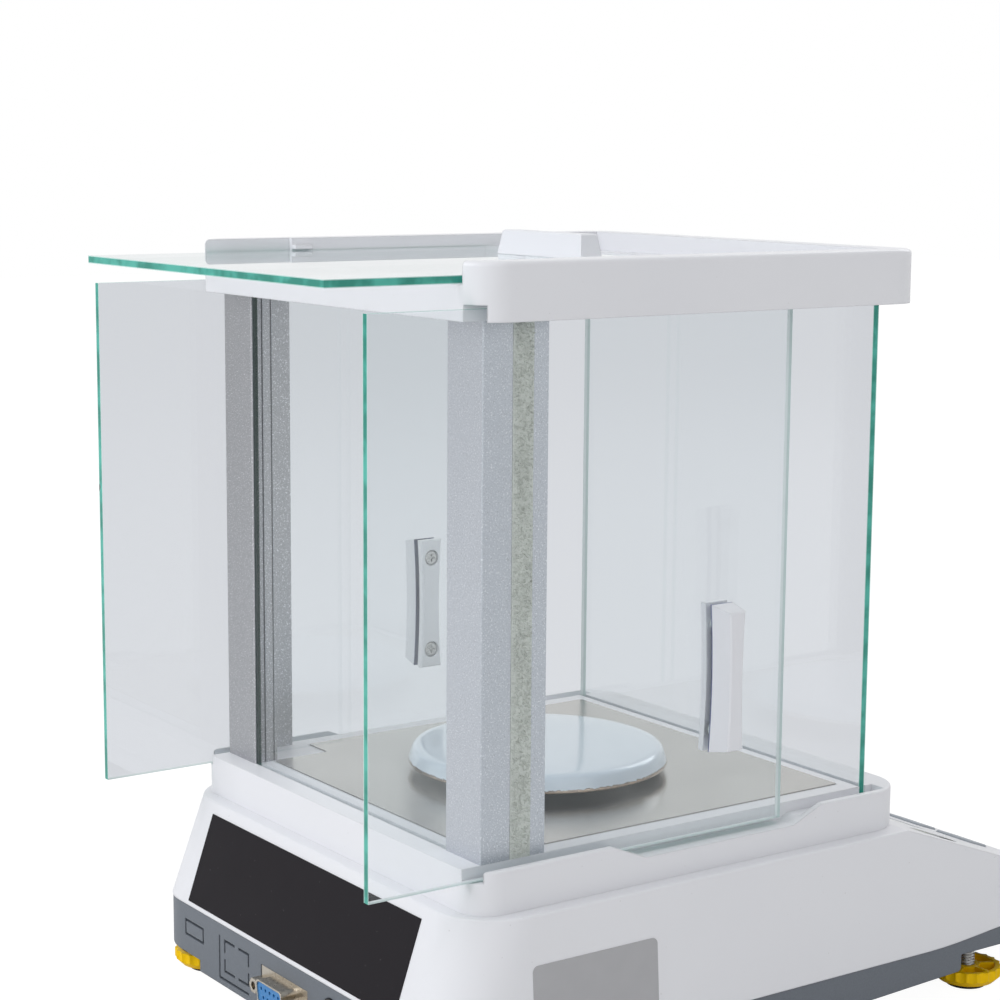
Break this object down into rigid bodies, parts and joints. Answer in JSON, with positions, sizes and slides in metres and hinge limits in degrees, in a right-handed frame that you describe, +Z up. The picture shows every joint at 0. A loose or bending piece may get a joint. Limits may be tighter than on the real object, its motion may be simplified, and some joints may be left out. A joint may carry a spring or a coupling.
{
  "type": "precision balance",
  "caption": "Precision laboratory balance with a round pan in a glass draft shield, sliding side and top doors, sloping key panel and screw feet.",
  "frame": {"origin": "on the table under the middle of the balance's box, as it stands with its doors partly open", "axes": "+X to the user's right, +Y away from the user to the rear panel, +Z up"},
  "size_m": [0.192, 0.3136, 0.2666],
  "materials": {
    "white_abs": "semi-gloss moulded white",
    "grey_abs": "fine spark texture, slate grey",
    "stainless": "satin rolled sheet",
    "blasted_aluminium": "bead blasted and clear anodised",
    "cast_aluminium": "as cast, deburred",
    "pile": "woven pile, olive grey",
    "clear_glass": "polished edges, faint green tint",
    "zinc_steel": "bright zinc plated",
    "circuit_board": "green solder resist",
    "lcd": "unlit reflective display",
    "window_acrylic": "polished clear acrylic",
    "key_plastic": "fine matt, blank",
    "nickel": "nickel plated, slightly dull",
    "blue_plastic": "moulded blue insulator",
    "black_plastic": "moulded black",
    "black_film": "thin printed film, blank",
    "label_film": "thin silver-grey film, blank",
    "brass": "turned and knurled",
    "filmed_steel": "steel dish under a pale blue protective film",
    "yellow_plastic": "moulded yellow",
    "rubber": "moulded rubber"
  },
  "bodies": {
    "base": {"upper_housing": "white_abs", "top_frame": "white_abs", "lower_housing": "grey_abs", "floor_plate": "stainless", "rear_pillar_left": "blasted_aluminium", "rear_pillar_right": "blasted_aluminium", "pile_strips": "pile", "front_glass": "clear_glass", "rear_glass": "clear_glass", "pillar_screws": "zinc_steel", "frame_screws": "zinc_steel", "housing_screws": "zinc_steel", "load_cell_bolts": "zinc_steel", "cell_base": "cast_aluminium", "load_cell": "blasted_aluminium", "pan_carrier": "cast_aluminium", "main_board": "circuit_board", "display_board": "circuit_board", "lcd_module": "lcd", "display_window": "window_acrylic", "serial_shell": "nickel", "serial_insulator": "blue_plastic", "serial_jackscrews": "nickel", "dc_jack": "black_plastic", "rear_film": "black_film", "rating_plate": "label_film", "level_housing": "black_plastic", "level_vial": "window_acrylic", "stud_inserts": "brass"},
    "left_door": {"left_door_glass": "clear_glass", "left_handle_grip": "white_abs", "left_handle_plate": "white_abs", "left_handle_screws": "zinc_steel"},
    "right_door": {"right_door_glass": "clear_glass", "right_handle_grip": "white_abs", "right_handle_plate": "white_abs", "right_handle_screws": "zinc_steel"},
    "top_door": {"top_door_glass": "clear_glass", "top_handle_grip": "white_abs", "top_handle_plate": "white_abs", "top_handle_screws": "zinc_steel"},
    "pan": {"weighing_pan": "filmed_steel"},
    "key_power_body": {"key_power": "key_plastic"},
    "key_tare_body": {"key_tare": "key_plastic"},
    "key_calibrate_body": {"key_calibrate": "key_plastic"},
    "key_units_body": {"key_units": "key_plastic"},
    "key_print_body": {"key_print": "key_plastic"},
    "foot_front_left_pad_body": {"foot_pad_front_left": "rubber"},
    "foot_front_left_wheel_body": {"foot_wheel_front_left": "yellow_plastic", "foot_stud_front_left": "zinc_steel"},
    "foot_front_right_pad_body": {"foot_pad_front_right": "rubber"},
    "foot_front_right_wheel_body": {"foot_wheel_front_right": "yellow_plastic", "foot_stud_front_right": "zinc_steel"},
    "foot_rear_left_pad_body": {"foot_pad_rear_left": "rubber"},
    "foot_rear_left_wheel_body": {"foot_wheel_rear_left": "yellow_plastic", "foot_stud_rear_left": "zinc_steel"},
    "foot_rear_right_pad_body": {"foot_pad_rear_right": "rubber"},
    "foot_rear_right_wheel_body": {"foot_wheel_rear_right": "yellow_plastic", "foot_stud_rear_right": "zinc_steel"}
  },
  "joints": [
    {"name": "left_door_slide", "type": "slide", "parent": "base", "child": "left_door", "axis": [0, 1, 0], "range_m": [-0.0449, 0.061]},
    {"name": "right_door_slide", "type": "slide", "parent": "base", "child": "right_door", "axis": [0, 1, 0], "range_m": [-0.0496, 0.0565]},
    {"name": "top_door_slide", "type": "slide", "parent": "base", "child": "top_door", "axis": [0, 1, 0], "range_m": [-0.0521, 0.066]},
    {"name": "pan_lift", "type": "slide", "parent": "base", "child": "pan", "axis": [0, 0, 1], "range_m": [0, 0.025]},
    {"name": "key_power_press", "type": "slide", "parent": "base", "child": "key_power_body", "axis": [0, 0.3453, -0.9385], "range_m": [0, 0.0008], "stiffness_N_per_m": 1200, "springref_m": -0.0005},
    {"name": "key_tare_press", "type": "slide", "parent": "base", "child": "key_tare_body", "axis": [0, 0.3453, -0.9385], "range_m": [0, 0.0008], "stiffness_N_per_m": 1200, "springref_m": -0.0005},
    {"name": "key_calibrate_press", "type": "slide", "parent": "base", "child": "key_calibrate_body", "axis": [0, 0.3453, -0.9385], "range_m": [0, 0.0008], "stiffness_N_per_m": 1200, "springref_m": -0.0005},
    {"name": "key_units_press", "type": "slide", "parent": "base", "child": "key_units_body", "axis": [0, 0.3453, -0.9385], "range_m": [0, 0.0008], "stiffness_N_per_m": 1200, "springref_m": -0.0005},
    {"name": "key_print_press", "type": "slide", "parent": "base", "child": "key_print_body", "axis": [0, 0.3453, -0.9385], "range_m": [0, 0.0008], "stiffness_N_per_m": 1200, "springref_m": -0.0005},
    {"name": "foot_front_left_rise", "type": "slide", "parent": "base", "child": "foot_front_left_pad_body", "axis": [0, 0, 1], "range_m": [-0.003, 0.003]},
    {"name": "foot_front_left_turn", "type": "hinge", "parent": "foot_front_left_pad_body", "child": "foot_front_left_wheel_body", "pos_m": [-0.0833, -0.1045, 0.004], "axis": [0, 0, 1], "range_deg": [-1080, 1080]},
    {"name": "foot_front_right_rise", "type": "slide", "parent": "base", "child": "foot_front_right_pad_body", "axis": [0, 0, 1], "range_m": [-0.003, 0.003]},
    {"name": "foot_front_right_turn", "type": "hinge", "parent": "foot_front_right_pad_body", "child": "foot_front_right_wheel_body", "pos_m": [0.0833, -0.1045, 0.004], "axis": [0, 0, 1], "range_deg": [-1080, 1080]},
    {"name": "foot_rear_left_rise", "type": "slide", "parent": "base", "child": "foot_rear_left_pad_body", "axis": [0, 0, 1], "range_m": [-0.003, 0.003]},
    {"name": "foot_rear_left_turn", "type": "hinge", "parent": "foot_rear_left_pad_body", "child": "foot_rear_left_wheel_body", "pos_m": [-0.0833, 0.1114, 0.004], "axis": [0, 0, 1], "range_deg": [-1080, 1080]},
    {"name": "foot_rear_right_rise", "type": "slide", "parent": "base", "child": "foot_rear_right_pad_body", "axis": [0, 0, 1], "range_m": [-0.003, 0.003]},
    {"name": "foot_rear_right_turn", "type": "hinge", "parent": "foot_rear_right_pad_body", "child": "foot_rear_right_wheel_body", "pos_m": [0.0833, 0.1114, 0.004], "axis": [0, 0, 1], "range_deg": [-1080, 1080]}
  ],
  "couplings": [
    {"joint": "foot_front_left_rise", "follows": "foot_front_left_turn", "m_per_rad": 0.00015915},
    {"joint": "foot_front_right_rise", "follows": "foot_front_right_turn", "m_per_rad": 0.00015915},
    {"joint": "foot_rear_left_rise", "follows": "foot_rear_left_turn", "m_per_rad": 0.00015915},
    {"joint": "foot_rear_right_rise", "follows": "foot_rear_right_turn", "m_per_rad": 0.00015915}
  ]
}
